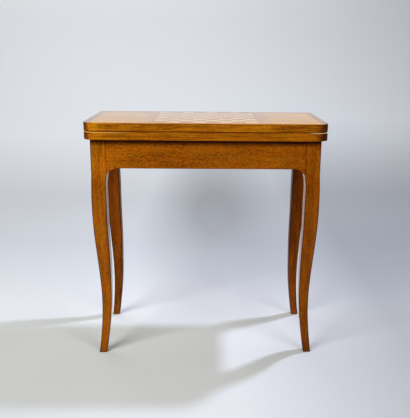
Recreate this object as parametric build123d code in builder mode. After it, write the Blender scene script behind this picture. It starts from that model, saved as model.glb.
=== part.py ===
from build123d import *
import os

os.makedirs("parts", exist_ok=True)

# Driving dimensions, in millimetres
# The table stands folded. X is its width, -Y its front, and Z = 0 the floor.
height = 755.0
leaf_width = 740.0
leaf_depth = leaf_width / 2  # the two leaves side by side make a square
leaf_thickness = 25.0
leaf_gap = 1.4
corner_radius = 41.0
leaf_arris = 1.6

frame_width = 700.0
frame_depth = 330.0
apron_height = 88.0
apron_thickness = 20.0
apron_arris = 1.0
ear_width = 36.0
ear_drop = 20.0
post_size = 46.0
post_arris = 1.2
tenon_length = 20.0
tenon_thickness = 10.0
tenon_height = 60.0

veneer = 1.2
baize_thickness = 1.2
baize_recess = 0.2
square_size = 40.0
square_count = 8
glue_line = 0.1
stringing_width = 3.0
band_width = 36.0

# The leg's stations from the ears to the floor: height, then its outer and inner faces, both
# measured inwards from the outer face of the frame, and the width of its eased arrises
leg_stations = [
    (592.0, 0.0, 46.0, 1.2),
    (520.0, -2.3, 43.0, 2.0),
    (440.0, -1.1, 43.4, 2.2),
    (373.0, 2.9, 44.9, 2.2),
    (304.0, 8.4, 46.6, 2.2),
    (233.0, 13.1, 46.4, 2.2),
    (163.0, 14.7, 44.5, 2.2),
    (93.0, 11.6, 38.4, 2.2),
    (40.0, 6.6, 31.7, 2.0),
    (0.0, 1.6, 25.4, 1.8),
]

# Card well
rail_width = 77.0
rail_thickness = 22.0
rail_proud = 0.5  # the leaf rides on the rail, just clear of the aprons
rail_housing = 8.0
cleat_size = 12.0
cleat_lift = 2.0
floor_thickness = 8.0

# Pivot
bolt_radius = 6.0
bolt_head_radius = 11.0
bolt_head_height = 5.0
bolt_running_gap = 0.08
bush_radius = 9.0
plate_size = 70.0
plate_thickness = 4.0
plate_corner = 6.0
washer_radius = 17.0
washer_thickness = 2.5
washer_gap = 0.2
nut_flats = 19.0
nut_height = 10.0
bolt_tail = 5.0
peg_radius = 6.5
peg_below = 14.0
peg_above = 12.0
peg_gap = 0.5
peg_reach = 100.0

# Edge hinges
hinge_length = 75.0
hinge_height = 9.0
hinge_thickness = 4.5
knuckle_radius = 4.5
knuckle_relief = 4.8
back_clearance = 0.25
hinge_side_gap = 0.1
pin_radius = 1.25
pin_running_gap = 0.06
pin_setback = 0.1  # from the strip's two faces

# Levels
leaf_top = height
upper_face = leaf_top - leaf_thickness  # the upper leaf's inner face
split_z = upper_face - leaf_gap / 2
lower_face = upper_face - leaf_gap  # the lower leaf's inner face
leaf_bottom = lower_face - leaf_thickness
frame_top = leaf_bottom - rail_proud
apron_bottom = frame_top - apron_height
post_bottom = leg_stations[0][0]

# Plan. The knuckles stand out behind the leaves, so the leaves lie a little forward of the origin.
centre_y = -(knuckle_radius + back_clearance) / 2
leaf_front = centre_y - leaf_depth / 2
leaf_back = centre_y + leaf_depth / 2
hinge_y = leaf_back + back_clearance
board_size = square_size * square_count
lipping_width = (leaf_depth - board_size) / 2 - stringing_width  # the board fills the core's depth
core_width = leaf_width - 2 * lipping_width
core_depth = leaf_depth - 2 * lipping_width
pivot_x = leaf_depth / 4
pivot_y = centre_y + leaf_depth / 4
inner_x = frame_width / 2 - apron_thickness
inner_y = frame_depth / 2 - apron_thickness
front_span = frame_width - 2 * post_size
side_span = frame_depth - 2 * post_size
tenon_z = apron_bottom + apron_height / 2
tenon_setback = (apron_thickness - tenon_thickness) / 2

sides = {"left": -1, "right": 1}
ends = {"front": -1, "rear": 1}


# Legs: a square post, and below it a curved leg whose two outlines are the same
for end, y_sign in ends.items():
    for side, x_sign in sides.items():
        with BuildPart() as leg:
            for station_z, outer, inner, arris in leg_stations:
                station_x = x_sign * (frame_width - outer - inner) / 2
                station_y = centre_y + y_sign * (frame_depth - outer - inner) / 2
                with BuildSketch(Plane.XY.offset(station_z)) as section:
                    with Locations((station_x, station_y)):
                        Rectangle(inner - outer, inner - outer)
                    chamfer(section.vertices(), arris)
            loft()
            post_x = x_sign * (frame_width - post_size) / 2
            post_y = centre_y + y_sign * (frame_depth - post_size) / 2
            outer_corner = (x_sign * frame_width, y_sign * frame_depth, 0)
            with BuildSketch(Plane.XY.offset(post_bottom)) as post:
                with Locations((post_x, post_y)):
                    Rectangle(post_size, post_size)
                chamfer(post.vertices().sort_by_distance(outer_corner)[0], post_arris)
            extrude(amount=frame_top - post_bottom)
            tenon_x = x_sign * (frame_width / 2 - post_size + tenon_length / 2)
            tenon_y = centre_y + y_sign * (frame_depth / 2 - post_size + tenon_length / 2)
            cheek_x = x_sign * (frame_width - apron_thickness) / 2
            cheek_y = centre_y + y_sign * (frame_depth - apron_thickness) / 2
            with Locations((tenon_x, cheek_y, tenon_z)):
                Box(tenon_length, tenon_thickness, tenon_height, mode=Mode.SUBTRACT)
            with Locations((cheek_x, tenon_y, tenon_z)):
                Box(tenon_thickness, tenon_length, tenon_height, mode=Mode.SUBTRACT)
        leg.part.label = f"leg_{end}_{side}"
        export_step(leg.part, f"parts/leg_{end}_{side}.step")

# Aprons: a straight rail with an ear at each end, a tenon through its length and, at the front
# and back, a housing for the pivot rail
aprons = {
    "front": (Vector(0, -1, 0), front_span, inner_y),
    "back": (Vector(0, 1, 0), front_span, inner_y),
    "left": (Vector(-1, 0, 0), side_span, inner_x),
    "right": (Vector(1, 0, 0), side_span, inner_x),
}
for place, (outward, span, reach) in aprons.items():
    inner_face = Plane(
        origin=Vector(0, centre_y, 0) + outward * reach,
        x_dir=Vector(0, 0, 1).cross(outward),
        z_dir=outward,
    )
    half = span / 2
    ear_tip = apron_bottom - ear_drop
    with BuildPart() as apron:
        with BuildSketch(inner_face):
            with BuildLine():
                Polyline((-half, ear_tip), (-half, frame_top), (half, frame_top), (half, ear_tip))
                TangentArc((half - ear_width, apron_bottom), (half, ear_tip), tangent=(1, 0))
                Line((ear_width - half, apron_bottom), (half - ear_width, apron_bottom))
                TangentArc((ear_width - half, apron_bottom), (-half, ear_tip), tangent=(-1, 0))
            make_face()
        extrude(amount=apron_thickness)
        outer_face = apron.faces().sort_by(Axis(inner_face.origin, outward))[-1]
        under_edges = outer_face.edges().filter_by(lambda edge: edge.center().Z < apron_bottom + 1.0)
        chamfer(under_edges, apron_arris)
        with BuildSketch(inner_face.offset(tenon_setback)):
            with Locations((0, tenon_z)):
                Rectangle(span + 2 * tenon_length, tenon_height)
        extrude(amount=tenon_thickness)
        if place in ("front", "back"):
            housing_y = centre_y + outward.Y * (inner_y + rail_housing / 2)
            with Locations((pivot_x, housing_y, frame_top)):
                Box(rail_width, rail_housing, 2 * (rail_thickness - rail_proud), mode=Mode.SUBTRACT)
    apron.part.label = f"apron_{place}"
    export_step(apron.part, f"parts/apron_{place}.step")

# Pivot rail, let into the front and back aprons from above
with BuildPart() as pivot_rail:
    with BuildSketch(Plane.XY.offset(leaf_bottom - rail_thickness)):
        with Locations((pivot_x, centre_y)):
            Rectangle(rail_width, 2 * (inner_y + rail_housing))
        with Locations((pivot_x, pivot_y)):
            Circle(bush_radius, mode=Mode.SUBTRACT)
    extrude(amount=rail_thickness)
pivot_rail.part.label = "pivot_rail"
export_step(pivot_rail.part, "parts/pivot_rail.step")

with BuildPart() as pivot_bush:
    with BuildSketch(Plane.XY.offset(leaf_bottom - rail_thickness)):
        with Locations((pivot_x, pivot_y)):
            Circle(bush_radius)
            Circle(bolt_radius + bolt_running_gap, mode=Mode.SUBTRACT)
    extrude(amount=rail_thickness)
pivot_bush.part.label = "pivot_bush"
export_step(pivot_bush.part, "parts/pivot_bush.step")

# Card well: a floor on cleats, from the left apron to the pivot rail, notched round the posts
well_left = -inner_x
well_right = pivot_x - rail_width / 2
well_middle = (well_left + well_right) / 2
cleat_bottom = apron_bottom + cleat_lift
floor_bottom = cleat_bottom + cleat_size
post_inset = post_size - apron_thickness
with BuildPart() as well_floor:
    with BuildSketch(Plane.XY.offset(floor_bottom)):
        with Locations((well_middle, centre_y)):
            Rectangle(well_right - well_left, 2 * inner_y)
        notch_y = inner_y - post_inset / 2
        with Locations((well_left + post_inset / 2, centre_y)):
            with GridLocations(1, 2 * notch_y, 1, 2):
                Rectangle(post_inset, post_inset, mode=Mode.SUBTRACT)
    extrude(amount=floor_thickness)
well_floor.part.label = "well_floor"
export_step(well_floor.part, "parts/well_floor.step")

cleat_start = well_left + post_inset
with BuildPart() as well_cleats:
    with BuildSketch(Plane.XY.offset(cleat_bottom)):
        with Locations(((cleat_start + well_right) / 2, centre_y)):
            with GridLocations(1, 2 * inner_y - cleat_size, 1, 2):
                Rectangle(well_right - cleat_start, cleat_size)
        with Locations((well_left + cleat_size / 2, centre_y)):
            Rectangle(cleat_size, side_span)
    extrude(amount=cleat_size)
well_cleats.part.label = "well_cleats"
export_step(well_cleats.part, "parts/well_cleats.step")

# Leaves: a core panel inside four solid lippings, mitred at the front and butted at the back,
# with the corners rounded and the arrises eased after gluing up
peg_x = pivot_x - peg_reach
peg_y = centre_y + inner_y - peg_gap - peg_radius
hinge_x = leaf_width / 2 - hinge_thickness / 2
leaves = {"lower": leaf_bottom, "upper": upper_face}
strip_z = {"lower": lower_face - hinge_height / 2, "upper": upper_face + hinge_height / 2}
half_w = leaf_width / 2
half_core_w = core_width / 2
core_front = leaf_front + lipping_width
core_back = leaf_back - lipping_width
front_left = (-half_w, leaf_front)
front_right = (half_w, leaf_front)
back_left = (-half_w, leaf_back)
back_right = (half_w, leaf_back)
core_front_left = (-half_core_w, core_front)
core_front_right = (half_core_w, core_front)
butt_left = (-half_core_w, leaf_back)
butt_right = (half_core_w, leaf_back)
lipping_plans = {
    "front": [front_left, front_right, core_front_right, core_front_left],
    "back": [(-half_core_w, core_back), (half_core_w, core_back), butt_right, butt_left],
    "left": [front_left, core_front_left, butt_left, back_left],
    "right": [core_front_right, front_right, back_right, butt_right],
}

for leaf, blank_bottom in leaves.items():
    with BuildPart() as blank:
        with BuildSketch(Plane.XY.offset(blank_bottom)) as outline:
            with Locations((0, centre_y)):
                Rectangle(leaf_width, leaf_depth)
            fillet(outline.vertices().group_by(Axis.Y)[0], corner_radius)
        extrude(amount=leaf_thickness)
        flat_edges = blank.edges().filter_by(Plane.XY)
        fillet(flat_edges.filter_by(lambda edge: edge.center().Y < leaf_back - 1.0), leaf_arris)

    for place, plan in lipping_plans.items():
        with BuildPart() as lipping:
            add(blank.part)
            with BuildSketch(Plane.XY.offset(blank_bottom)):
                Polygon(*plan, align=None)
            extrude(amount=leaf_thickness, mode=Mode.INTERSECT)
            if place in sides:
                x_sign = sides[place]
                with Locations((x_sign * hinge_x, leaf_back - hinge_length / 2, strip_z[leaf])):
                    Box(hinge_thickness, hinge_length, hinge_height, mode=Mode.SUBTRACT)
        lipping.part.label = f"{leaf}_lipping_{place}"
        export_step(lipping.part, f"parts/{leaf}_lipping_{place}.step")

# Lower core: open above for the baize, and let in below for the pivot plate and the stop peg
lower_core_top = lower_face - baize_thickness - baize_recess
plate_top = leaf_bottom + plate_thickness
with BuildPart() as lower_core:
    with BuildSketch(Plane.XY.offset(leaf_bottom)):
        with Locations((0, centre_y)):
            Rectangle(core_width, core_depth)
    extrude(amount=lower_core_top - leaf_bottom)
    with BuildSketch(Plane.XY.offset(leaf_bottom)):
        with Locations((pivot_x, pivot_y)):
            RectangleRounded(plate_size, plate_size, plate_corner)
    extrude(amount=plate_thickness, mode=Mode.SUBTRACT)
    with BuildSketch(Plane.XY.offset(plate_top)):
        with Locations((pivot_x, pivot_y)):
            Circle(bolt_head_radius)
    extrude(amount=bolt_head_height, mode=Mode.SUBTRACT)
    with BuildSketch(Plane.XY.offset(leaf_bottom)):
        with Locations((peg_x, peg_y)):
            Circle(peg_radius)
    extrude(amount=peg_above, mode=Mode.SUBTRACT)
lower_core.part.label = "lower_core"
export_step(lower_core.part, "parts/lower_core.step")

upper_core_bottom = upper_face + baize_thickness + baize_recess
with BuildPart() as upper_core:
    with BuildSketch(Plane.XY.offset(upper_core_bottom)):
        with Locations((0, centre_y)):
            Rectangle(core_width, core_depth)
    extrude(amount=leaf_top - veneer - upper_core_bottom)
upper_core.part.label = "upper_core"
export_step(upper_core.part, "parts/upper_core.step")

# Baize on the two inner faces
for leaf, baize_bottom in {"lower": lower_core_top, "upper": upper_face + baize_recess}.items():
    with BuildPart() as baize:
        with BuildSketch(Plane.XY.offset(baize_bottom)):
            with Locations((0, centre_y)):
                Rectangle(core_width, core_depth)
        extrude(amount=baize_thickness)
    baize.part.label = f"{leaf}_baize"
    export_step(baize.part, f"parts/{leaf}_baize.step")

# Chessboard in the upper face, with a dark square at the front left corner
veneer_plane = Plane.XY.offset(leaf_top - veneer)
first_square = -(board_size - square_size) / 2
for tone, first in {"dark": 0, "light": 1}.items():
    with BuildPart() as squares:
        with BuildSketch(veneer_plane):
            for row in range(square_count):
                square_y = centre_y + first_square + row * square_size
                for column in range((first + row) % 2, square_count, 2):
                    with Locations((first_square + column * square_size, square_y)):
                        Rectangle(square_size - glue_line, square_size - glue_line)
        extrude(amount=veneer)
    squares.part.label = f"squares_{tone}"
    export_step(squares.part, f"parts/squares_{tone}.step")

string_reach = board_size + stringing_width
with BuildPart() as board_stringing:
    with BuildSketch(veneer_plane):
        with Locations((0, centre_y)):
            with GridLocations(1, string_reach, 1, 2):
                Rectangle(board_size, stringing_width)
            with GridLocations(string_reach, 1, 2, 1):
                Rectangle(stringing_width - glue_line, core_depth)
    extrude(amount=veneer)
board_stringing.part.label = "board_stringing"
export_step(board_stringing.part, "parts/board_stringing.step")

band_inner = board_size / 2 + stringing_width
band_outer = band_inner + band_width
with BuildPart() as board_bands:
    with BuildSketch(veneer_plane):
        with Locations((0, centre_y)):
            with GridLocations(band_inner + band_outer, 1, 2, 1):
                Rectangle(band_width, core_depth)
    extrude(amount=veneer)
board_bands.part.label = "board_bands"
export_step(board_bands.part, "parts/board_bands.step")

with BuildPart() as side_veneers:
    with BuildSketch(veneer_plane):
        with Locations((0, centre_y)):
            with GridLocations(band_outer + half_core_w, 1, 2, 1):
                Rectangle(half_core_w - band_outer, core_depth)
    extrude(amount=veneer)
side_veneers.part.label = "side_veneers"
export_step(side_veneers.part, "parts/side_veneers.step")

# Pivot: a plate in the leaf, a bolt through the rail, and a washer and nut under it
with BuildPart() as pivot_plate:
    with BuildSketch(Plane.XY.offset(leaf_bottom)):
        with Locations((pivot_x, pivot_y)):
            RectangleRounded(plate_size, plate_size, plate_corner)
            Circle(bolt_radius, mode=Mode.SUBTRACT)
    extrude(amount=plate_thickness)
pivot_plate.part.label = "pivot_plate"
export_step(pivot_plate.part, "parts/pivot_plate.step")

washer_top = leaf_bottom - rail_thickness - washer_gap
nut_top = washer_top - washer_thickness
bolt_bottom = nut_top - nut_height - bolt_tail
with BuildPart() as pivot_bolt:
    with BuildSketch(Plane.XY.offset(bolt_bottom)):
        with Locations((pivot_x, pivot_y)):
            Circle(bolt_radius)
    extrude(amount=plate_top - bolt_bottom)
    with BuildSketch(Plane.XY.offset(plate_top)):
        with Locations((pivot_x, pivot_y)):
            Circle(bolt_head_radius)
    extrude(amount=bolt_head_height)
pivot_bolt.part.label = "pivot_bolt"
export_step(pivot_bolt.part, "parts/pivot_bolt.step")

with BuildPart() as clamp_washer:
    with BuildSketch(Plane.XY.offset(nut_top)):
        with Locations((pivot_x, pivot_y)):
            Circle(washer_radius)
            Circle(bolt_radius, mode=Mode.SUBTRACT)
    extrude(amount=washer_thickness)
clamp_washer.part.label = "clamp_washer"
export_step(clamp_washer.part, "parts/clamp_washer.step")

with BuildPart() as pivot_nut:
    with BuildSketch(Plane.XY.offset(nut_top - nut_height)):
        with Locations((pivot_x, pivot_y)):
            RegularPolygon(nut_flats / 2, 6, major_radius=False)
            Circle(bolt_radius, mode=Mode.SUBTRACT)
    extrude(amount=nut_height)
pivot_nut.part.label = "pivot_nut"
export_step(pivot_nut.part, "parts/pivot_nut.step")

with BuildPart() as stop_peg:
    with BuildSketch(Plane.XY.offset(leaf_bottom - peg_below)):
        with Locations((peg_x, peg_y)):
            Circle(peg_radius)
    extrude(amount=peg_below + peg_above)
stop_peg.part.label = "stop_peg"
export_step(stop_peg.part, "parts/stop_peg.step")

# Edge hinges: the lower strip has two cheeks round the pin, and the upper strip a tongue between
tongue_room = hinge_thickness / 3
tongue_thickness = tongue_room - 2 * hinge_side_gap
cheek_room = (hinge_thickness - tongue_thickness) / 2
for side, x_sign in sides.items():
    knuckle = Location((x_sign * hinge_x, hinge_y, split_z), (0, 90, 0))

    with BuildPart() as hinge_lower:
        with Locations((x_sign * hinge_x, leaf_back - hinge_length / 2, strip_z["lower"])):
            Box(hinge_thickness, hinge_length, hinge_height)
        with Locations(knuckle):
            Cylinder(knuckle_radius, hinge_thickness)
            Cylinder(knuckle_relief, tongue_room, mode=Mode.SUBTRACT)
            Cylinder(pin_radius, hinge_thickness, mode=Mode.SUBTRACT)
    hinge_lower.part.label = f"hinge_lower_{side}"
    export_step(hinge_lower.part, f"parts/hinge_lower_{side}.step")

    with BuildPart() as hinge_upper:
        with Locations((x_sign * hinge_x, leaf_back - hinge_length / 2, strip_z["upper"])):
            Box(hinge_thickness, hinge_length, hinge_height)
        with Locations(knuckle):
            with Locations((0, 0, -(tongue_thickness + cheek_room) / 2), (0, 0, (tongue_thickness + cheek_room) / 2)):
                Cylinder(knuckle_relief, cheek_room, mode=Mode.SUBTRACT)
            Cylinder(knuckle_radius, tongue_thickness)
            Cylinder(pin_radius + pin_running_gap, hinge_thickness, mode=Mode.SUBTRACT)
    hinge_upper.part.label = f"hinge_upper_{side}"
    export_step(hinge_upper.part, f"parts/hinge_upper_{side}.step")

with BuildPart() as hinge_pins:
    for x_sign in sides.values():
        with Locations(Location((x_sign * hinge_x, hinge_y, split_z), (0, 90, 0))):
            Cylinder(pin_radius, hinge_thickness - 2 * pin_setback)
hinge_pins.part.label = "hinge_pins"
export_step(hinge_pins.part, "parts/hinge_pins.step")
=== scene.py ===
import math

import bmesh
import bpy
from mathutils import Matrix, Vector
from mathutils import noise as noise_field


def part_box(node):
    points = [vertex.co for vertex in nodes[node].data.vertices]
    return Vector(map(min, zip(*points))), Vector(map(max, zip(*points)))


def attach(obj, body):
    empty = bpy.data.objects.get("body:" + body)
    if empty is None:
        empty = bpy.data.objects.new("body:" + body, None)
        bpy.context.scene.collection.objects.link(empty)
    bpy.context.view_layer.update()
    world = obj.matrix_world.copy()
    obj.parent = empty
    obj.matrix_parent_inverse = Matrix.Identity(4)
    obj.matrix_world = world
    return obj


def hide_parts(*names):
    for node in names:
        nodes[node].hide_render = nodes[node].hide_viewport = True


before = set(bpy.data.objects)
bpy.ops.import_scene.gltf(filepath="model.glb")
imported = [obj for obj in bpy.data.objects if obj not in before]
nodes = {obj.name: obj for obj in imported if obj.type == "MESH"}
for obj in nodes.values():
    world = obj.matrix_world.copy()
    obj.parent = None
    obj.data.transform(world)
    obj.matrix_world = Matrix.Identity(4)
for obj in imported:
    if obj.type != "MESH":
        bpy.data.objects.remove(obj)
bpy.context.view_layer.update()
scene = bpy.context.scene


def box_of(name):
    """The lowest and the highest corner of a node at rest, in metres."""
    low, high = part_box(name)
    return Vector(low), Vector(high)


# Faces of the folded table that the finishes are placed by. X is its width and -Y its front.
leaf_front = box_of("lower_lipping_front")[0].y
leaf_end = box_of("lower_lipping_right")[1].x
lower_leaf_top = box_of("lower_lipping_front")[1].z
apron_face = box_of("apron_front")[0].y
frame_top = box_of("apron_front")[1].z

# The camera that was fitted to the photograph, in metres and radians. In pixels of the photograph are its
# focal length, and how far right of the picture's middle and below it the camera points.
PHOTO_HEIGHT = 418
FOCAL_PIXELS = 616.65
CENTRE_RIGHT, CENTRE_DOWN = 18.14, 5.58
CAMERA_PLACE = Vector((0.002, -2.0226, 0.9648))
PITCH = 0.2599
YAW = 0.0277
ROLL = 0.0112
SENSOR = 36.0
CLIP_NEAR, CLIP_FAR = 0.05, 50.0


def make_camera():
    ahead = Vector((math.sin(YAW) * math.cos(PITCH), math.cos(YAW) * math.cos(PITCH), -math.sin(PITCH)))
    level = Vector((math.cos(YAW), -math.sin(YAW), 0.0))
    upright = level.cross(ahead)
    right = level * math.cos(ROLL) + upright * math.sin(ROLL)
    up = upright * math.cos(ROLL) - level * math.sin(ROLL)
    data = bpy.data.cameras.new("camera")
    data.sensor_width = SENSOR
    data.lens = FOCAL_PIXELS / PHOTO_HEIGHT * SENSOR
    data.shift_x = -CENTRE_RIGHT / PHOTO_HEIGHT
    data.shift_y = CENTRE_DOWN / PHOTO_HEIGHT
    data.clip_start, data.clip_end = CLIP_NEAR, CLIP_FAR
    camera = bpy.data.objects.new("camera", data)
    turn = Matrix((right, up, -ahead)).transposed().to_4x4()
    camera.matrix_world = Matrix.Translation(CAMERA_PLACE) @ turn
    scene.collection.objects.link(camera)
    scene.camera = camera


def area_light(name, place, aim, size, power, colour=(1.0, 1.0, 1.0)):
    """A rectangular lamp that polished faces don't mirror. Size is in metres and power in watts."""
    data = bpy.data.lights.new(name, "AREA")
    data.shape = "RECTANGLE"
    data.size, data.size_y = size
    data.energy = power
    data.color = colour
    lamp = bpy.data.objects.new(name, data)
    lamp.location = place
    lamp.rotation_euler = (Vector(aim) - Vector(place)).to_track_quat("-Z", "Y").to_euler()
    lamp.visible_glossy = False
    scene.collection.objects.link(lamp)


def make_lamps():
    """Two large lamps in front, a small bluish one behind on the right, one for the wall, and dim air."""
    table_middle, leg_middle, wall = (0.0, 0.0, 0.45), (0.0, 0.0, 0.3), (-0.9, 3.0, 1.2)
    bluish = (0.72, 0.75, 1.0)
    area_light("front_left", (-2.1, -2.2, 2.2), table_middle, size=(1.8, 1.8), power=132.0)
    area_light("front_right", (1.9, -2.4, 2.2), table_middle, size=(1.5, 1.5), power=52.0)
    area_light("right_rear", (1.285, 0.562, 2.56), leg_middle, (0.16, 0.16), power=66.0, colour=bluish)
    area_light("wall_wash", (-1.1, 1.6, 3.4), wall, size=(3.0, 1.2), power=52.0)
    world = bpy.data.worlds.new("studio")
    scene.world = world
    world.use_nodes = True
    air = world.node_tree.nodes["Background"].inputs
    air["Color"].default_value = (0.92, 0.95, 1.0, 1.0)
    air["Strength"].default_value = 0.12
    scene.view_settings.view_transform = "Standard"


# Shader nodes: the helpers below take and give sockets, or plain values in their place

# The Mix node's sockets for colours, by number, because its sockets share their names
MIX_FIRST, MIX_SECOND, MIX_RESULT = 6, 7, 2


def principled(name):
    material = bpy.data.materials.new(name)
    material.use_nodes = True
    tree = material.node_tree
    return material, tree, tree.nodes["Principled BSDF"]


def add(tree, kind, inputs=None, **settings):
    """A shader node: an input given as a socket is linked, and any other is a value."""
    node = tree.nodes.new("ShaderNode" + kind)
    for name, value in settings.items():
        setattr(node, name, value)
    for name, value in (inputs or {}).items():
        if isinstance(value, bpy.types.NodeSocket):
            tree.links.new(value, node.inputs[name])
        else:
            node.inputs[name].default_value = value
    return node


def calc(tree, operation, first, second=0.0):
    return add(tree, "Math", {0: first, 1: second}, operation=operation).outputs[0]


def combine(tree, operation, first, second, result="Vector"):
    """An operation on two vectors."""
    return add(tree, "VectorMath", {0: first, 1: second}, operation=operation).outputs[result]


def mix(tree, factor, first, second, blend="MIX"):
    inputs = {0: factor, MIX_FIRST: first, MIX_SECOND: second}
    return add(tree, "Mix", inputs, data_type="RGBA", blend_type=blend).outputs[MIX_RESULT]


def spread(tree, value, low, high, to_low=0.0, to_high=1.0):
    """Maps value from low..high to to_low..to_high, held at both ends."""
    inputs = {"Value": value, "From Min": low, "From Max": high, "To Min": to_low, "To Max": to_high}
    return add(tree, "MapRange", inputs).outputs[0]


def noise(tree, vector, scale, detail=2.0, rough=0.5, twist=0.0):
    inputs = {"Vector": vector, "Scale": scale, "Detail": detail, "Roughness": rough, "Distortion": twist}
    return add(tree, "TexNoise", inputs).outputs["Fac"]


def object_place(tree):
    return add(tree, "TexCoord").outputs["Object"]


def weighted(tree, layers):
    """The sum of (value, weight) pairs."""
    total = 0.0
    for value, weight in layers:
        total = add(tree, "Math", {0: value, 1: weight, 2: total}, operation="MULTIPLY_ADD").outputs[0]
    return total


def masked(tree, parts, limits, amount=1.0):
    """The amount times a mask for each limit: a part, and its values where the mask is 0 and where 1."""
    for part, none, full in limits:
        amount = calc(tree, "MULTIPLY", amount, spread(tree, parts[part], none, full))
    return amount


def ellipse(tree, place, centre, size):
    """0 in the centre of an ellipsoid of the given half sizes, 1 on its surface, and more outside it."""
    scaled = combine(tree, "DIVIDE", combine(tree, "SUBTRACT", place, centre), size)
    return add(tree, "VectorMath", {0: scaled}, operation="LENGTH").outputs["Value"]


def edge_mask(tree, radius):
    """1 along the arrises of a solid and 0 away from them."""
    rounded = add(tree, "Bevel", {"Radius": radius}, samples=6).outputs[0]
    flat = add(tree, "NewGeometry").outputs["Normal"]
    match = combine(tree, "DOT_PRODUCT", rounded, flat, "Value")
    flat_match, arris_match = 0.995, 0.86
    return spread(tree, match, flat_match, arris_match)


def backdrop_mesh():
    """A floor that curves up into walls, with round corners between the walls, in metres."""
    reach, near_y, wall_y, wall_height = 6.0, -6.0, 3.2, 5.0
    bend, rounding, flat_rim = 1.2, 2.0, 0.3
    bend_steps, corner_steps = 16, 8
    middle_x, back_y, front_y = reach - rounding, wall_y - rounding, near_y + rounding
    corners = [(middle_x, back_y), (-middle_x, back_y), (-middle_x, front_y), (middle_x, front_y)]
    levels = [(bend + flat_rim, 0.0)]
    for step in range(bend_steps + 1):
        angle = math.pi / 2 * step / bend_steps
        levels.append((bend - bend * math.sin(angle), bend - bend * math.cos(angle)))
    levels.append((0.0, wall_height))
    points = []
    for inset, height in levels:
        for quarter, (corner_x, corner_y) in enumerate(corners):
            for step in range(corner_steps + 1):
                angle = math.pi / 2 * (quarter + step / corner_steps)
                point_x = corner_x + (rounding - inset) * math.cos(angle)
                point_y = corner_y + (rounding - inset) * math.sin(angle)
                points.append((point_x, point_y, height))
    around = len(corners) * (corner_steps + 1)
    faces = [tuple(range(around))]
    for level in range(len(levels) - 1):
        for number in range(around):
            here, there = level * around + number, level * around + (number + 1) % around
            faces.append((here, here + around, there + around, there))
    mesh = bpy.data.meshes.new("backdrop")
    mesh.from_pydata(points, [], faces)
    for polygon in mesh.polygons:
        polygon.use_smooth = polygon.index > 0
    return mesh


# Painted shade: the paper is a little darker and greener near the table than at the wall. A painted shadow
# of the table is darkest behind the legs, in an ellipsoid with this centre and these half sizes.
PAPER_FAR = (0.61, 0.625, 0.625, 1.0)
PAPER_NEAR = (0.545, 0.555, 0.54, 1.0)
SHADOW_CENTRE, SHADOW_SIZE = (0.05, 1.7, 0.03), (0.45, 1.9, 0.55)


def backdrop_paper():
    """Pale paper with painted shade: each darkens it by its amount within the limits of its place."""
    material, tree, shader = principled("backdrop_paper")
    place = object_place(tree)
    parts = dict(zip("xyz", add(tree, "SeparateXYZ", {0: place}).outputs))
    parts["radius"] = ellipse(tree, place, SHADOW_CENTRE, SHADOW_SIZE)
    right_wall = spread(tree, parts["y"], 1.2, 2.0, to_low=0.42, to_high=0.32)
    # Painted shade, and the table's painted shadow, where less light reaches the paper
    painted_shades = {
        "behind_legs": (0.43, ("radius", 1.0, 0.25)),
        "far_floor": (0.195, ("y", 0.2, 1.0), ("z", 0.30, -0.05)),
        "left_floor": (0.13, ("x", -0.25, -0.8), ("y", 0.10, -0.05)),
        "near_left_floor": (0.07, ("x", 0.0, -0.5), ("y", -0.10, -0.45)),
        "right_wall": (right_wall, ("x", 0.10, 0.70), ("z", 0.45, 0.0)),
    }
    paper = mix(tree, spread(tree, parts["y"], 0.9, 0.1), PAPER_FAR, PAPER_NEAR)
    for amount, *limits in painted_shades.values():
        light_left = calc(tree, "SUBTRACT", 1.0, masked(tree, parts, limits, amount))
        paper = mix(tree, 1.0, paper, light_left, "MULTIPLY")
    tree.links.new(paper, shader.inputs["Base Color"])
    shader.inputs["Roughness"].default_value = 0.7
    shader.inputs["Specular IOR Level"].default_value = 0.2
    return material


def make_stage():
    mesh = backdrop_mesh()
    mesh.materials.append(backdrop_paper())
    backdrop = bpy.data.objects.new("backdrop", mesh)
    scene.collection.objects.link(backdrop)


# Turns that bring each grain direction onto X, and the line along which boards are cut from the noises
GRAIN_TURNS = {"X": (0.0, 0.0, 0.0), "Y": (0.0, 0.0, -math.pi / 2), "Z": (0.0, math.pi / 2, 0.0)}
BOARD_LINE = (1.0, 0.37, 0.71)

# How much the noises keep of their scale along the grain
LONG_STRETCH, SHORT_STRETCH = (0.05, 1.0, 1.0), (0.3, 1.0, 1.0)

# Darker wood is redder: its green and its blue fall by these powers of what its red falls by. From one whole
# piece to another only the green does, by the last power.
GREEN_POWER, BLUE_POWER = 1.4, 1.6
PIECE_GREEN_POWER = 1.35

# Patches of wood that are redder, and others that are more olive
REDDER, MORE_OLIVE = (1.10, 0.93, 0.9, 1.0), (0.93, 1.08, 1.1, 1.0)

# How dark the pores are and how much of that shows, the height of the grain under the varnish with the radius
# of a worn arris in metres, and the varnish's refractive index
PORE_DEPTH, PORE_SHARE = 0.35, 0.4
GRAIN_HEIGHT, GRAIN_RELIEF, ARRIS_ROUNDING = 0.0003, 0.35, 0.0012
COAT_INDEX = 1.5


def toned(colour, tone):
    """The colour of a piece that is darker than others of the same wood, or lighter if tone is over 1."""
    return (colour[0] * tone, colour[1] * tone ** PIECE_GREEN_POWER, colour[2] * tone, 1.0)


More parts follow.
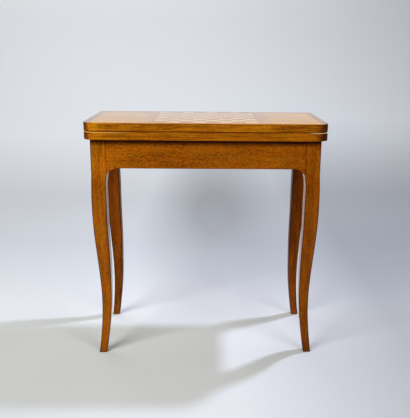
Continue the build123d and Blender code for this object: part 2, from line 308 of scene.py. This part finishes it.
class Wood:
    """Polished wood with its grain along one axis, made of noises that are stretched along the grain."""

    def __init__(self, name, along, light, dark, shift=0.0):
        self.material, self.tree, self.shader = principled(name)
        self.light, self.dark = light, dark
        tree = self.tree
        spot = add(tree, "TexCoord").outputs
        self.place, normal = spot["Object"], spot["Normal"]
        self.parts = dict(zip(("x", "y", "z"), add(tree, "SeparateXYZ", {0: self.place}).outputs))
        self.parts.update(zip(("nx", "ny", "nz"), add(tree, "SeparateXYZ", {0: normal}).outputs))
        self.parts["outward"] = combine(tree, "DOT_PRODUCT", self.place, normal, "Value")
        turned = add(tree, "Mapping", {"Vector": self.place, "Rotation": GRAIN_TURNS[along]}).outputs[0]
        moved = tuple(shift * part for part in BOARD_LINE)
        board = add(tree, "Mapping", {"Vector": turned, "Location": moved}).outputs[0]
        self.long = combine(tree, "MULTIPLY", board, LONG_STRETCH)
        self.short = combine(tree, "MULTIPLY", board, SHORT_STRETCH)

    def layer(self, stretched, low, high, **settings):
        """A noise of the grain, with its values from low to high spread over 0 to 1."""
        return spread(self.tree, noise(self.tree, stretched, **settings), low, high)

    def grain(self, figure=0.3, streaks=0.35, flecks=0.35, cloud=0.2):
        """The colour from light to dark, as a weighted sum of broad figure, streaks, flecks and clouds."""
        tree = self.tree
        wide = self.layer(self.long, 0.36, 0.64, scale=22.0, detail=3.0, rough=0.55, twist=0.8)
        self.thin = self.layer(self.long, 0.38, 0.62, scale=210.0, detail=3.0, rough=0.62)
        fleck = self.layer(self.short, 0.40, 0.62, scale=400.0, rough=0.6)
        patch = self.layer(self.short, 0.36, 0.64, scale=17.0, detail=3.0, rough=0.55)
        self.pore = self.layer(self.long, 0.58, 0.70, scale=800.0, detail=1.0)
        tone = weighted(tree, [(wide, figure), (self.thin, streaks), (fleck, flecks), (patch, cloud)])
        total = figure + streaks + flecks + cloud
        lightest, darkest = 0.18, 0.82
        tone = spread(tree, tone, lightest * total, darkest * total)
        self.colour = mix(tree, tone, self.light, self.dark)
        return self.darken(calc(tree, "MULTIPLY", self.pore, PORE_SHARE), PORE_DEPTH)

    def where(self, *limits, share=1.0):
        """A mask over the place (x, y, z), the normal (nx, ny, nz), and outward, which is how far the plane
        of the face lies from the table's upright middle line."""
        return masked(self.tree, self.parts, limits, share)

    def darken(self, factor, depth):
        """Where factor is 1 the colour falls to its share depth, or rises if that is over 1."""
        low = (depth, depth ** GREEN_POWER, depth ** BLUE_POWER, 1.0)
        return self.tint(factor, mix(self.tree, 1.0, self.colour, low, "MULTIPLY"))

    def tint(self, factor, colour):
        self.colour = mix(self.tree, factor, self.colour, colour)
        return self

    def hue(self, amount):
        """Patches of the wood are redder and others more olive."""
        patch = self.layer(self.short, 0.36, 0.64, scale=75.0)
        shade = mix(self.tree, patch, REDDER, MORE_OLIVE)
        return self.tint(amount, mix(self.tree, 1.0, self.colour, shade, "MULTIPLY"))

    def edges(self, radius, depth):
        """Painted shade along the arrises and in the joints between parts."""
        return self.darken(edge_mask(self.tree, radius), depth)

    def corners(self, depth):
        """Painted shade on the chamfers between the upright faces, whose normals lie between the X and Y
        axes.
        """
        both = calc(self.tree, "ABSOLUTE", calc(self.tree, "MULTIPLY", self.parts["nx"], self.parts["ny"]))
        face, chamfer = 0.12, 0.4
        return self.darken(spread(self.tree, both, face, chamfer), depth)

    def knot(self, centre, size, depth):
        """A small dark knot with a ragged rim: an ellipsoid of the given half sizes."""
        tree = self.tree
        ragged = calc(tree, "ADD", ellipse(tree, self.place, centre, size), noise(tree, self.short, 300.0))
        outside, inside = 1.7, 0.9
        return self.darken(spread(tree, ragged, outside, inside), depth)

    def coat(self, weight):
        self.tree.links.new(weight, self.shader.inputs["Coat Weight"])
        return self

    def polish(self, part, least, none=0.6, full=0.95, most=1.0, behind=1.0):
        """A full coat of varnish on the faces that look along one axis, and a thin one on the others."""
        ahead = spread(self.tree, self.parts[part], none, full, least, most)
        back = spread(self.tree, self.parts[part], -none, -full, least, behind)
        return self.coat(calc(self.tree, "MAXIMUM", ahead, back))

    def wear(self, part, none, full, least):
        """The coat of varnish gets thinner along one axis."""
        return self.coat(spread(self.tree, self.parts[part], none, full, 1.0, least))

    def finish(self, rough=0.4, specular=0.03, coat=1.0, coat_rough=0.12):
        """The shader's last sockets. Coat holds where polish or wear hasn't linked a weight."""
        tree, sockets = self.tree, self.shader.inputs
        tree.links.new(self.colour, sockets["Base Color"])
        smoother, rougher = rough - 0.05, rough + 0.09
        handled = noise(tree, self.short, 30.0, detail=3.0)
        tree.links.new(spread(tree, handled, 0.35, 0.65, smoother, rougher), sockets["Roughness"])
        height = weighted(tree, [(self.thin, 0.35), (self.pore, -0.6)])
        soft = add(tree, "Bevel", {"Radius": ARRIS_ROUNDING}, samples=4).outputs[0]
        relief = {"Strength": GRAIN_RELIEF, "Distance": GRAIN_HEIGHT, "Height": height, "Normal": soft}
        tree.links.new(add(tree, "Bump", relief).outputs[0], sockets["Normal"])
        sockets["Specular IOR Level"].default_value = specular
        sockets["Coat Weight"].default_value = coat
        sockets["Coat Roughness"].default_value = coat_rough
        sockets["Coat IOR"].default_value = COAT_INDEX
        return self.material


def dress(names, material):
    for name in names:
        nodes[name].data.materials.clear()
        nodes[name].data.materials.append(material)


# Where the boards of aprons, edges and veneers are cut from the noises, and the steps from board to board
LEG_STEP, PIECE_STEP, LEAF_STEP, SHEET_STEP = 1.7, 0.9, 5.3, 1.0
APRON_START, EDGE_START, SHEET_START = 3.1, 7.7, 20.0

# The varnished wood of the frame is orange brown, and the solid edges of the leaves are more golden
FRAME_LIGHT = (0.315, 0.087, 0.0014, 1.0)
FRAME_DARK = (0.088, 0.0185, 0.0002, 1.0)
EDGE_LIGHT = (0.395, 0.131, 0.0022, 1.0)
EDGE_DARK = (0.115, 0.030, 0.0003, 1.0)
# A painted sheen on the inner faces of the front legs
INNER_SHEEN = (0.50, 0.30, 0.17, 1.0)

# Painted shadow of the leaves on the strip of the frame close under them, on its outer upright faces
OVERHANG_SHADOW = (
    ("z", frame_top - 0.0206, frame_top - 0.0051),
    ("outward", 0.0, 0.1),
    ("nz", 0.5, 0.2),
)
OVERHANG_SHADOW_DEPTH = 0.2

# Stretches of the legs, by their heights above the floor, and their inner faces
POST = ("z", 0.56, 0.64)
THIGH = ("z", 0.30, 0.52)
SHIN = ("z", 0.30, 0.04)
FOOT = ("z", 0.055, 0.01)
INNER_FACES = ("outward", -0.20, -0.28)

# The tone of each leg, with painted shade on the rear and right ones, and how much lighter its post is
legs = {
    "leg_front_left": (1.06, 1.42),
    "leg_front_right": (0.82, 1.22),
    "leg_rear_left": (0.66, 1.22),
    "leg_rear_right": (0.57, 1.22),
}


def dress_legs():
    """The rear legs are duller, painted darker above and lighter below where the table shades them.
    The front ones have painted shade on their feet and a painted sheen on their inner faces.
    """
    for number, (name, (tone, post_lift)) in enumerate(legs.items()):
        in_front = "front" in name
        light, dark = toned(FRAME_LIGHT, tone), toned(FRAME_DARK, tone)
        leg = Wood("wood_" + name, "Z", light, dark, LEG_STEP * number)
        leg.grain(figure=0.3, streaks=0.25, flecks=0.35, cloud=0.4).hue(0.8)
        # Painted shade along the arrises and on the chamfers
        leg.edges(radius=0.007, depth=0.5).corners(depth=0.35)
        # Painted shade on the front feet, and on the rear legs the table's painted shadow: lighter low down
        # and darker higher up
        if in_front:
            leg.darken(leg.where(FOOT), depth=0.72)
        else:
            leg.darken(leg.where(SHIN), depth=1.3).darken(leg.where(THIGH), depth=0.88)
        # A lighter post, and the painted shadow of the overhang under the leaves
        leg.darken(leg.where(POST), post_lift).darken(leg.where(*OVERHANG_SHADOW), OVERHANG_SHADOW_DEPTH)
        # Painted sheen on the front legs' inner faces: lighter and pale
        if in_front:
            leg.darken(leg.where(INNER_FACES), depth=1.7)
            leg.tint(leg.where(INNER_FACES, share=0.15), INNER_SHEEN)
        gloss = 1.0 if in_front else 0.2
        leg.polish("nx", least=0.05, most=gloss, behind=gloss)
        dress([name], leg.finish())


# The grain direction and the tone of each apron, the painted light on its left part, and the front one's knot
aprons = {
    "apron_front": ("X", 0.90),
    "apron_back": ("X", 0.88),
    "apron_left": ("Y", 0.95),
    "apron_right": ("Y", 0.90),
}
LIT_LEFT_PART = ("x", -0.10, -0.33)
KNOT_CENTRE = (-0.068, apron_face + 0.0024, frame_top - 0.0126)
KNOT_SIZE = (0.0060, 0.010, 0.0040)


def dress_aprons():
    for number, (name, (along, tone)) in enumerate(aprons.items()):
        light, dark = toned(FRAME_LIGHT, tone), toned(FRAME_DARK, tone)
        apron = Wood("wood_" + name, along, light, dark, APRON_START + PIECE_STEP * number)
        apron.grain(figure=0.25, streaks=0.2, flecks=0.65, cloud=0.4).hue(0.7)
        # Painted shade along the arrises and in the joints
        apron.edges(radius=0.003, depth=0.45)
        # Painted light on the left part, and the painted shadow of the overhang
        apron.darken(apron.where(LIT_LEFT_PART), depth=1.2).darken(apron.where(*OVERHANG_SHADOW), OVERHANG_SHADOW_DEPTH)
        if name == "apron_front":
            apron.knot(KNOT_CENTRE, KNOT_SIZE, depth=0.15)
        dress([name], apron.polish("nx", least=0.05).finish())


# Painted shade and a painted highlight on the upright faces of the leaves' rounded front corners. X and Y
# limits come from the ends and the front of the leaves, and Z limits from the top of the lower leaf.
CORNER = ("y", leaf_front + 0.0624, leaf_front + 0.0374)
FRONT_FACE = (CORNER, ("nz", 0.95, 0.7), ("nz", -0.95, -0.7))
LEFT_FRONT = (("x", -leaf_end + 0.110, -leaf_end + 0.035), ("nx", -0.65, -0.4), *FRONT_FACE)
LEFT_BEND = (CORNER, ("nx", -0.4, -0.8))
RIGHT_FRONT = (("x", leaf_end - 0.044, leaf_end - 0.020), *FRONT_FACE)
RIGHT_BEND = (CORNER, ("nx", 0.5, 0.8))

# Arrises: painted shade on the upper leaf's lower one, and on the lower leaf's upper one a pale painted glint
# at the right corner and a golden painted highlight at the left one
NOT_FLAT_TOP = ("nz", 0.99, 0.9)
SHADED_ARRIS = (("nz", -0.3, -0.6), ("nz", -0.99, -0.9))
RIGHT_ARRIS = (CORNER, ("x", leaf_end - 0.065, leaf_end - 0.035), ("nz", 0.05, 0.4), NOT_FLAT_TOP)
LEFT_ARRIS = (
    CORNER,
    ("x", -leaf_end + 0.150, -leaf_end + 0.070),
    ("z", lower_leaf_top - 0.0034, lower_leaf_top - 0.0024),
    ("z", lower_leaf_top - 0.0003, lower_leaf_top - 0.0011),
    NOT_FLAT_TOP,
)
UPPER_FACE = ("nz", 0.6, 0.9)
ARRIS_GLINT = (0.85, 0.62, 0.38, 1.0)
ARRIS_HIGHLIGHT = (0.52, 0.255, 0.045, 1.0)
# The painted lit colour of the front edge's top face
LIT_TOP = (0.50, 0.215, 0.012, 1.0)

# The tone of each leaf's edges and how dark the painted shade on their arrises is, and the grain direction
# on each side
leaves = {"upper": (0.98, 0.45), "lower": (0.81, 0.8)}
sides = {"front": "X", "back": "X", "left": "Y", "right": "Y"}


def shade_corners(edge, side):
    """Painted shade on both bends. The front face has a painted highlight by the left one, and painted shade
    by the right one.
    """
    if side in ("front", "left"):
        edge.darken(edge.where(*LEFT_FRONT), depth=1.35).darken(edge.where(*LEFT_BEND), depth=0.4)
    if side in ("front", "right"):
        edge.darken(edge.where(*RIGHT_FRONT), depth=0.42).darken(edge.where(*RIGHT_BEND), depth=0.45)


def finish_upper_edge(edge, side):
    """The front edge's top face is painted a lighter, lit golden colour, and is less glossy."""
    if side == "front":
        edge.tint(edge.where(UPPER_FACE, share=0.6), LIT_TOP)
    edge.polish("nz", least=0.1, most=0.5 if side == "front" else 1.0, behind=0.1)


def finish_lower_edge(edge, side):
    """Painted highlights on the arrises at the corners, on an edge with little varnish."""
    if side in ("front", "right"):
        edge.tint(edge.where(*RIGHT_ARRIS), ARRIS_GLINT)
    if side in ("front", "left"):
        edge.tint(edge.where(*LEFT_ARRIS), ARRIS_HIGHLIGHT)
    edge.polish("nz", least=0.05, none=0.99, full=0.9995, most=0.1, behind=0.1)


def dress_lippings():
    for leaf_number, (leaf, (tone, arris_depth)) in enumerate(leaves.items()):
        light, dark = toned(EDGE_LIGHT, tone), toned(EDGE_DARK, tone)
        for number, (side, along) in enumerate(sides.items()):
            name = leaf + "_lipping_" + side
            start = EDGE_START + LEAF_STEP * leaf_number + PIECE_STEP * number
            edge = Wood("wood_" + name, along, light, dark, start)
            edge.grain(figure=0.25, streaks=0.6, flecks=0.3, cloud=0.3).hue(0.6)
            # Painted shade along the arrises, deeper on the upper leaf's lower one by the gap between the
            # leaves
            edge.edges(radius=0.002, depth=arris_depth)
            if leaf == "upper":
                edge.darken(edge.where(*SHADED_ARRIS), depth=0.3)
            shade_corners(edge, side)
            if leaf == "upper":
                finish_upper_edge(edge, side)
            else:
                finish_lower_edge(edge, side)
            dress([name], edge.finish())


# The grain direction, the light and the dark colour of each veneer of the upper face
veneers = {
    "squares_light": ("Y", (0.61, 0.39, 0.175, 1.0), (0.46, 0.27, 0.105, 1.0)),
    "squares_dark": ("X", (0.40, 0.185, 0.036, 1.0), (0.27, 0.105, 0.014, 1.0)),
    "board_stringing": ("X", (0.28, 0.13, 0.040, 1.0), (0.15, 0.06, 0.018, 1.0)),
    "board_bands": ("Y", (0.42, 0.19, 0.060, 1.0), (0.30, 0.12, 0.030, 1.0)),
    "side_veneers": ("X", (0.57, 0.29, 0.045, 1.0), (0.29, 0.12, 0.010, 1.0)),
}
LIT_VENEER_FRONT = ("y", -0.02, -0.17)


def dress_veneers():
    """Towards the front the varnish is thinner, and all but the light squares are painted lighter as more
    lit.
    """
    for number, (name, (along, light, dark)) in enumerate(veneers.items()):
        sheet = Wood("veneer_" + name, along, light, dark, SHEET_START + SHEET_STEP * number)
        sheet.grain().wear("y", none=0.02, full=-0.16, least=0.68)
        if name != "squares_light":
            sheet.darken(sheet.where(LIT_VENEER_FRONT), depth=1.2)
        dress([name], sheet.finish(coat_rough=0.15))


def dress_inner_wood():
    """Bare beech: the cores of the leaves, the card well, the rail and the peg."""
    bare = Wood("bare_beech", "X", (0.50, 0.30, 0.13, 1.0), (0.33, 0.17, 0.06, 1.0))
    inner = ("lower_core", "upper_core", "well_floor", "well_cleats", "pivot_rail", "stop_peg")
    dress(inner, bare.grain().finish(rough=0.6, specular=0.3, coat=0.0))


# Dirt and painted shade along the arrises and slots of metal, the width of that line in metres, and how long
# scratches are along Y
DIRT_AND_SHADE = (0.05, 0.03, 0.012, 1.0)
DIRT_AND_SHADE_WIDTH = 0.0005
SCRATCH_STRETCH = (1.0, 0.15, 1.0)


def metal(name, colour, rough, grime):
    """Dulled metal with fine scratches, darker and rougher where it is tarnished."""
    material, tree, shader = principled(name)
    place = object_place(tree)
    tarnish = spread(tree, noise(tree, place, 90.0, detail=4.0, rough=0.65), 0.4, 0.7)
    scratched = combine(tree, "MULTIPLY", place, SCRATCH_STRETCH)
    dulled = mix(tree, tarnish, colour, grime)
    # Dirt and painted shade along the arrises and in the slots
    outlined = mix(tree, edge_mask(tree, DIRT_AND_SHADE_WIDTH), dulled, DIRT_AND_SHADE)
    tree.links.new(outlined, shader.inputs["Base Color"])
    tree.links.new(spread(tree, tarnish, 0.0, 1.0, rough, rough + 0.25), shader.inputs["Roughness"])
    bump = add(tree, "Bump", {"Strength": 0.2, "Distance": 0.0002, "Height": noise(tree, scratched, 900.0)})
    tree.links.new(bump.outputs[0], shader.inputs["Normal"])
    shader.inputs["Metallic"].default_value = 1.0
    return material


# The lit and the shaded colour of the nap, where it is rubbed, and lint on it
NAP_LIGHT, NAP_DARK = (0.013, 0.076, 0.029, 1.0), (0.005, 0.038, 0.014, 1.0)
NAP_RUBBED = (0.030, 0.092, 0.044, 1.0)
LINT = (0.20, 0.30, 0.20, 1.0)


def felt():
    """Green baize: a short raised nap with a soft sheen, a little faded and rubbed in patches."""
    material, tree, shader = principled("green_baize")
    place = object_place(tree)
    nap = noise(tree, place, 1400.0, detail=3.0, rough=0.7)
    rubbed = spread(tree, noise(tree, place, 9.0, detail=4.0, rough=0.6), 0.40, 0.66)
    lint = spread(tree, noise(tree, place, 520.0, rough=0.7), 0.64, 0.72)
    green = mix(tree, spread(tree, nap, 0.3, 0.7), NAP_DARK, NAP_LIGHT)
    green = mix(tree, calc(tree, "MULTIPLY", rubbed, 0.45), green, NAP_RUBBED)
    green = mix(tree, calc(tree, "MULTIPLY", lint, 0.25), green, LINT)
    tree.links.new(green, shader.inputs["Base Color"])
    tree.links.new(spread(tree, rubbed, 0.0, 1.0, 0.92, 0.78), shader.inputs["Roughness"])
    bump = add(tree, "Bump", {"Strength": 0.6, "Distance": 0.0004, "Height": nap})
    tree.links.new(bump.outputs[0], shader.inputs["Normal"])
    shader.inputs["Sheen Weight"].default_value = 0.2
    shader.inputs["Sheen Roughness"].default_value = 0.5
    shader.inputs["Specular IOR Level"].default_value = 0.1
    return material


def mesh_piece(name, shape, material, body):
    mesh = bpy.data.meshes.new(name)
    shape.to_mesh(mesh)
    shape.free()
    mesh.materials.append(material)
    piece = bpy.data.objects.new(name, mesh)
    scene.collection.objects.link(piece)
    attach(piece, body)
    return piece


def drop_rim(shape, height):
    """A skirt from the open rim of a sheet to the given height. Returns the skirt's lower edges."""
    rim = [edge for edge in shape.edges if edge.is_boundary]
    skirt = bmesh.ops.extrude_edge_only(shape, edges=rim)["geom"]
    for part in skirt:
        if isinstance(part, bmesh.types.BMVert):
            part.co.z = height
    return [part for part in skirt if isinstance(part, bmesh.types.BMEdge)]


# The cloth's mesh, in metres: its cells, how deep its nap is worn and its edge rolls down, and how wide
# that roll is. The nap's waves are a sum of noises.
CLOTH_CELL = 0.006
NAP_DEPTH, EDGE_ROLL, ROLL_WIDTH = 0.00012, 0.0005, 0.002
WAVES_PER_METRE, WAVE_SMOOTHNESS, WAVE_STEP, WAVE_LAYERS = 60.0, 1.0, 2.0, 3


def cloth_dip(x, y, level, size):
    """How far the cloth's face lies under its full thickness at a point measured from its middle."""
    wave_place = Vector((x * WAVES_PER_METRE, y * WAVES_PER_METRE, level))
    wave = noise_field.fractal(wave_place, WAVE_SMOOTHNESS, WAVE_STEP, WAVE_LAYERS)
    inset = min(size.x / 2 - abs(x), size.y / 2 - abs(y))
    roll = EDGE_ROLL * max(0.0, 1.0 - inset / ROLL_WIDTH)
    return NAP_DEPTH * (0.5 + 0.5 * max(-1.0, min(1.0, wave))) + roll


def baize_cloth(leaf, material, faces_up):
    """The cloth glued into its leaf, as thick as its place, with an uneven nap and rolled-down edges."""
    low, high = box_of(leaf + "_baize")
    size, centre = high - low, (low + high) / 2
    cloth = bmesh.new()
    cells_along, cells_across = round(size.x / CLOTH_CELL), round(size.y / CLOTH_CELL)
    bmesh.ops.create_grid(cloth, x_segments=cells_along, y_segments=cells_across, size=0.5)
    for point in cloth.verts:
        point.co.x, point.co.y = point.co.x * size.x, point.co.y * size.y
        point.co.z = size.z - cloth_dip(point.co.x, point.co.y, low.z, size)
    bmesh.ops.contextual_create(cloth, geom=drop_rim(cloth, 0.0))
    bmesh.ops.recalc_face_normals(cloth, faces=cloth.faces)
    flip = 1.0 if faces_up else -1.0
    for point in cloth.verts:
        point.co.z = centre.z + flip * (point.co.z - size.z / 2)
        point.co.x, point.co.y = point.co.x + centre.x, point.co.y + centre.y
    if not faces_up:
        bmesh.ops.reverse_faces(cloth, faces=cloth.faces)
    steepest_smooth = 0.5
    for face in cloth.faces:
        face.smooth = abs(face.normal.z) > steepest_smooth
    piece = mesh_piece(leaf + "_baize_cloth", cloth, material, leaf + "_leaf")
    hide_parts(leaf + "_baize")


# A screw head's slot, skirt and crown as shares of its radius, and its rows of points beside the slot
SLOT_HALF_WIDTH, SLOT_DEPTH, SKIRT_DEPTH, CROWN = 0.14, 0.30, 0.5, 0.05
HEAD_STEPS = 7


def head_rows(radius):
    """The rows of points across a slotted disc, from one side to the other, as pairs of Y and Z."""
    slot_y, slot_z = SLOT_HALF_WIDTH * radius, -SLOT_DEPTH * radius
    slot_angle = math.asin(slot_y / radius)
    angles = [slot_angle + (math.pi / 2 - slot_angle) * step / HEAD_STEPS for step in range(HEAD_STEPS)]
    half = [(radius * math.sin(angle), 0.0) for angle in angles]
    return [(-y, z) for y, z in reversed(half)] + [(-slot_y, slot_z), (slot_y, slot_z)] + half


def screw_head(name, place, outward, turn, radius, material, body):
    """A slotted countersunk head with a slight crown, flush with its plate, turned about its own axis."""
    head = bmesh.new()
    lines = []
    for y, z in head_rows(radius):
        reach = math.sqrt(radius ** 2 - y ** 2)
        line = []
        for x in (-reach, 0.0, reach):
            rise = CROWN * radius * (1.0 - (x * x + y * y) / radius ** 2)
            line.append(head.verts.new((x, y, z + rise)))
        lines.append(line)
    for near, far in zip(lines, lines[1:]):
        for left, right in ((0, 1), (1, 2)):
            head.faces.new((near[left], near[right], far[right], far[left]))
    drop_rim(head, -SKIRT_DEPTH * radius)
    bmesh.ops.recalc_face_normals(head, faces=head.faces)
    aim = Vector(outward).to_track_quat("Z", "Y").to_matrix().to_4x4()
    seat = Matrix.Translation(place) @ aim @ Matrix.Rotation(turn, 4, "Z")
    bmesh.ops.transform(head, matrix=seat, verts=head.verts)
    mesh_piece(name, head, material, body)


# Screws, in metres: the radius of their heads, how far the middle of a hinge strip lies from the leaf's
# inner face, and where its three screws stand from the back. Their slots stop at uneven angles.
HINGE_HEAD, PLATE_HEAD = 0.0024, 0.0040
STRIP_MIDDLE = 0.0045
HINGE_SCREWS = 3
FIRST_SCREW, SCREW_PITCH = 0.015, 0.025
PLATE_PITCH = 0.025
HINGE_TURN, HINGE_TURN_STEP = 0.5, 1.9
PLATE_TURN, PLATE_TURN_STEP = 0.4, 1.1


def hinge_screws(leaf, side, way, material):
    """Three heads along the middle of one strip, on the end of the leaf that looks along X by way."""
    leaf_low, leaf_high = box_of(leaf + "_lipping_" + side)
    face_x = leaf_low.x if way < 0 else leaf_high.x
    strip_z = leaf_high.z - STRIP_MIDDLE if leaf == "lower" else leaf_low.z + STRIP_MIDDLE
    for row in range(HINGE_SCREWS):
        place = (face_x, leaf_high.y - FIRST_SCREW - SCREW_PITCH * row, strip_z)
        name = f"screw_{leaf}_{side}_{row + 1}"
        turn = HINGE_TURN + HINGE_TURN_STEP * row + way
        screw_head(name, place, (way, 0.0, 0.0), turn, HINGE_HEAD, material, leaf + "_leaf")


def plate_screws(material):
    """Four heads in a square, on the underside of the pivot plate."""
    low, high = box_of("pivot_plate")
    middle = (low + high) / 2
    for number, (right, back) in enumerate(((-1, -1), (1, -1), (1, 1), (-1, 1))):
        place = (middle.x + right * PLATE_PITCH, middle.y + back * PLATE_PITCH, low.z)
        name = f"screw_plate_{number + 1}"
        turn = PLATE_TURN + PLATE_TURN_STEP * number
        screw_head(name, place, (0.0, 0.0, -1.0), turn, PLATE_HEAD, material, "lower_leaf")


make_camera()
make_stage()
make_lamps()

dress_legs()
dress_aprons()
dress_lippings()
dress_veneers()
dress_inner_wood()
brass = metal("brass", colour=(0.84, 0.56, 0.21, 1.0), rough=0.30, grime=(0.34, 0.20, 0.07, 1.0))
iron = metal("iron", colour=(0.30, 0.29, 0.28, 1.0), rough=0.42, grime=(0.10, 0.06, 0.04, 1.0))
hinges = ("hinge_lower_left", "hinge_lower_right", "hinge_upper_left", "hinge_upper_right", "hinge_pins")
dress(hinges + ("pivot_bush",), brass)
dress(("pivot_plate", "pivot_bolt", "clamp_washer", "pivot_nut"), iron)

cloth_material = felt()
baize_cloth("lower", cloth_material, True)
baize_cloth("upper", cloth_material, False)
for leaf in leaves:
    hinge_screws(leaf, "left", -1.0, brass)
    hinge_screws(leaf, "right", 1.0, brass)
plate_screws(iron)
